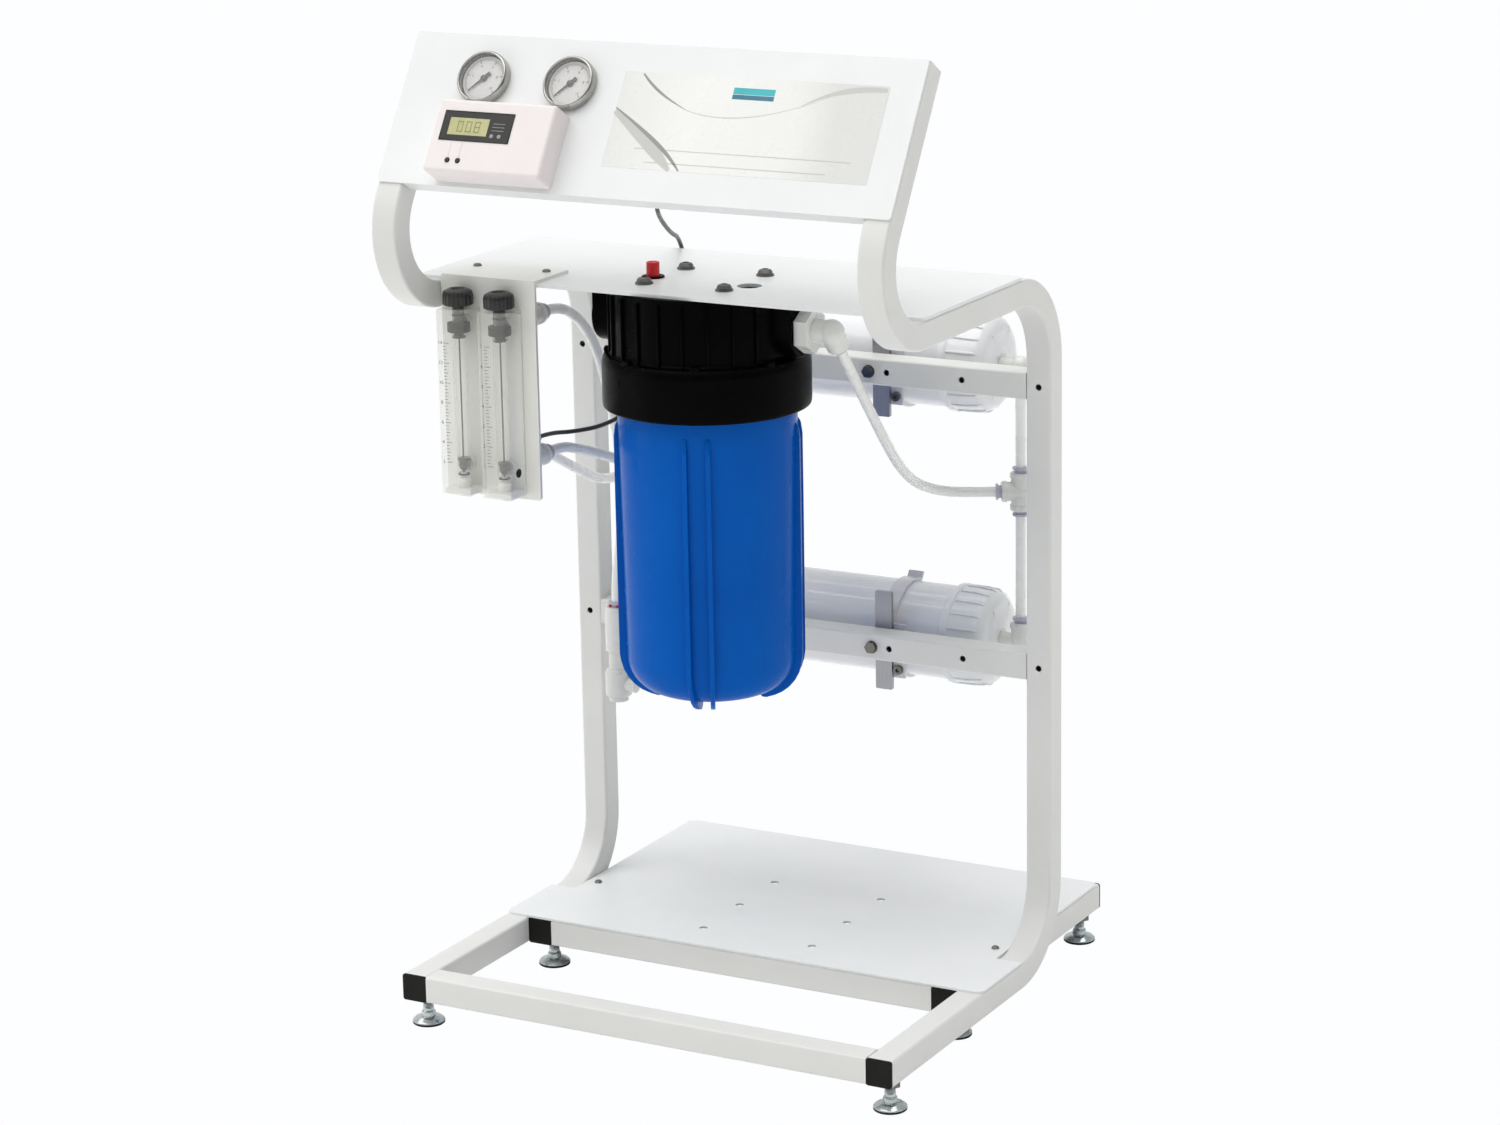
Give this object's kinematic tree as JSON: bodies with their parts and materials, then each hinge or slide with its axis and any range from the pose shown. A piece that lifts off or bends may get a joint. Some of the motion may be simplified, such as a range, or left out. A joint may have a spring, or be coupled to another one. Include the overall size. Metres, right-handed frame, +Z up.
{
  "type": "reverse osmosis unit",
  "caption": "Free-standing reverse osmosis water unit: bent square-tube stand, prefilter housing, membrane housings, flow meters and a leaning console with gauges.",
  "frame": {"origin": "middle of the footprint, on the floor under the levelling feet", "axes": "+Z up, +X to the right seen from the front, -Y to the front (console side)"},
  "size_m": [0.505, 0.5069, 0.9053],
  "materials": {
    "stand_paint": "satin white powder coat",
    "plate_paint": "smooth white powder coat",
    "plug_black": "moulded black",
    "head_black": "moulded black, semi-gloss",
    "sump_blue": "moulded blue, glossy",
    "seal_rubber": "black rubber",
    "filter_media": "pleated white media",
    "button_red": "moulded red",
    "zinc_steel": "zinc plated",
    "foot_metal": "bright plated",
    "gauge_chrome": "polished bezel",
    "dial_white": "printed dial",
    "needle_black": "black",
    "gauge_glass": "clear",
    "acrylic_clear": "clear acrylic",
    "float_steel": "turned",
    "knob_black": "moulded black",
    "bracket_white": "white sheet",
    "fitting_white": "milky translucent",
    "collet_grey": "moulded grey lilac",
    "tube_white": "milky polyethylene",
    "housing_white": "glossy white tube",
    "cap_white": "milky translucent",
    "element_wrap": "taped wrap",
    "bar_aluminium": "mill finish",
    "clip_white": "moulded white",
    "meter_case": "pinkish white",
    "display_dark": "dark window",
    "key_dark": "moulded black",
    "cable_black": "black sheath"
  },
  "bodies": {
    "stand": {"base_plate": "plate_paint", "base_tube_left": "stand_paint", "base_tube_right": "stand_paint", "bracket_bars": "bar_aluminium", "concentrate_hose": "tube_white", "console_panel": "plate_paint", "drain_hose": "tube_white", "drain_valve": "fitting_white", "end_plugs": "plug_black", "feed_hose": "tube_white", "filter_head": "head_black", "filter_head_bolts": "zinc_steel", "fitting_collets": "collet_grey", "foot_locknuts": "zinc_steel", "front_cross_tube": "stand_paint", "gauge_cases": "gauge_chrome", "gauge_dials": "dial_white", "gauge_lenses": "gauge_glass", "inner_cross_tubes": "stand_paint", "link_tubes": "tube_white", "locking_clips": "button_red", "lower_rail": "stand_paint", "membrane_caps": "cap_white", "membrane_clips": "clip_white", "membrane_elbows": "fitting_white", "membrane_elements": "element_wrap", "membrane_shells": "housing_white", "meter_bodies": "acrylic_clear", "meter_bracket": "bracket_white", "meter_fittings": "fitting_white", "outlet_elbow": "fitting_white", "permeate_hose": "tube_white", "quality_meter_case": "meter_case", "quality_meter_display": "display_dark", "screws_and_bolts": "zinc_steel", "sensor_cable": "cable_black", "sensor_cable_ends": "cable_black", "shelf_plate": "plate_paint", "side_frame_left": "stand_paint", "side_frame_right": "stand_paint", "tube_tees": "fitting_white", "upper_rail": "stand_paint"},
    "filter_cartridge": {"filter_cartridge": "filter_media"},
    "sump": {"sump": "sump_blue", "sump_oring": "seal_rubber"},
    "relief_button": {"relief_button": "button_red"},
    "needle_left": {"gauge_needle_left": "needle_black"},
    "needle_right": {"gauge_needle_right": "needle_black"},
    "meter_button_left": {"meter_button_left": "key_dark"},
    "meter_button_right": {"meter_button_right": "key_dark"},
    "float_left": {"meter_float_left": "float_steel"},
    "float_right": {"meter_float_right": "float_steel"},
    "knob_left": {"meter_knob_left": "knob_black"},
    "knob_right": {"meter_knob_right": "knob_black"},
    "foot_front_left": {"foot_front_left": "foot_metal"},
    "foot_front_right": {"foot_front_right": "foot_metal"},
    "foot_middle_left": {"foot_middle_left": "foot_metal"},
    "foot_middle_right": {"foot_middle_right": "foot_metal"},
    "foot_rear_left": {"foot_rear_left": "foot_metal"},
    "foot_rear_right": {"foot_rear_right": "foot_metal"}
  },
  "joints": [
    {"name": "foot_front_left_adjust", "type": "slide", "parent": "stand", "child": "foot_front_left", "axis": [0, 0, -1], "range_m": [-0.006, 0.012]},
    {"name": "foot_front_right_adjust", "type": "slide", "parent": "stand", "child": "foot_front_right", "axis": [0, 0, -1], "range_m": [-0.006, 0.012]},
    {"name": "foot_middle_left_adjust", "type": "slide", "parent": "stand", "child": "foot_middle_left", "axis": [0, 0, -1], "range_m": [-0.006, 0.012]},
    {"name": "foot_middle_right_adjust", "type": "slide", "parent": "stand", "child": "foot_middle_right", "axis": [0, 0, -1], "range_m": [-0.006, 0.012]},
    {"name": "foot_rear_left_adjust", "type": "slide", "parent": "stand", "child": "foot_rear_left", "axis": [0, 0, -1], "range_m": [-0.006, 0.012]},
    {"name": "foot_rear_right_adjust", "type": "slide", "parent": "stand", "child": "foot_rear_right", "axis": [0, 0, -1], "range_m": [-0.006, 0.012]},
    {"name": "sump_turn", "type": "hinge", "parent": "filter_cartridge", "child": "sump", "pos_m": [-0.001, -0.0985, 0.45], "axis": [0, 0, 1], "range_deg": [0, 1080]},
    {"name": "cartridge_lower", "type": "slide", "parent": "stand", "child": "filter_cartridge", "axis": [0, 0, -1], "range_m": [0, 0.0181]},
    {"name": "relief_press", "type": "slide", "parent": "stand", "child": "relief_button", "axis": [0, 0, -1], "range_m": [0, 0.003], "stiffness_N_per_m": 1500, "springref_m": -0.001},
    {"name": "needle_left_sweep", "type": "hinge", "parent": "stand", "child": "needle_left", "pos_m": [-0.1683, -0.18539, 0.87155], "axis": [0, 0.848, -0.5299], "range_deg": [0, 270], "stiffness_Nm_per_rad": 0.00005, "springref_deg": -28.65},
    {"name": "needle_right_sweep", "type": "hinge", "parent": "stand", "child": "needle_right", "pos_m": [-0.0812, -0.18539, 0.87155], "axis": [0, 0.848, -0.5299], "range_deg": [0, 270], "stiffness_Nm_per_rad": 0.00005, "springref_deg": -28.65},
    {"name": "meter_button_left_press", "type": "slide", "parent": "stand", "child": "meter_button_left", "axis": [0, 0.848, -0.5299], "range_m": [0, 0.0008], "stiffness_N_per_m": 1500, "springref_m": -0.0005},
    {"name": "meter_button_right_press", "type": "slide", "parent": "stand", "child": "meter_button_right", "axis": [0, 0.848, -0.5299], "range_m": [0, 0.0008], "stiffness_N_per_m": 1500, "springref_m": -0.0005},
    {"name": "float_left_rise", "type": "slide", "parent": "stand", "child": "float_left", "axis": [0, 0, 1], "range_m": [0, 0.108]},
    {"name": "float_right_rise", "type": "slide", "parent": "stand", "child": "float_right", "axis": [0, 0, 1], "range_m": [0, 0.108]},
    {"name": "knob_left_turn", "type": "hinge", "parent": "stand", "child": "knob_left", "pos_m": [-0.198, -0.1935, 0.67], "axis": [0, 0, 1], "range_deg": [0, 1440]},
    {"name": "knob_right_turn", "type": "hinge", "parent": "stand", "child": "knob_right", "pos_m": [-0.1555, -0.1935, 0.67], "axis": [0, 0, 1], "range_deg": [0, 1440]}
  ],
  "couplings": [
    {"joint": "cartridge_lower", "follows": "sump_turn", "m_per_rad": 0.00095493}
  ]
}
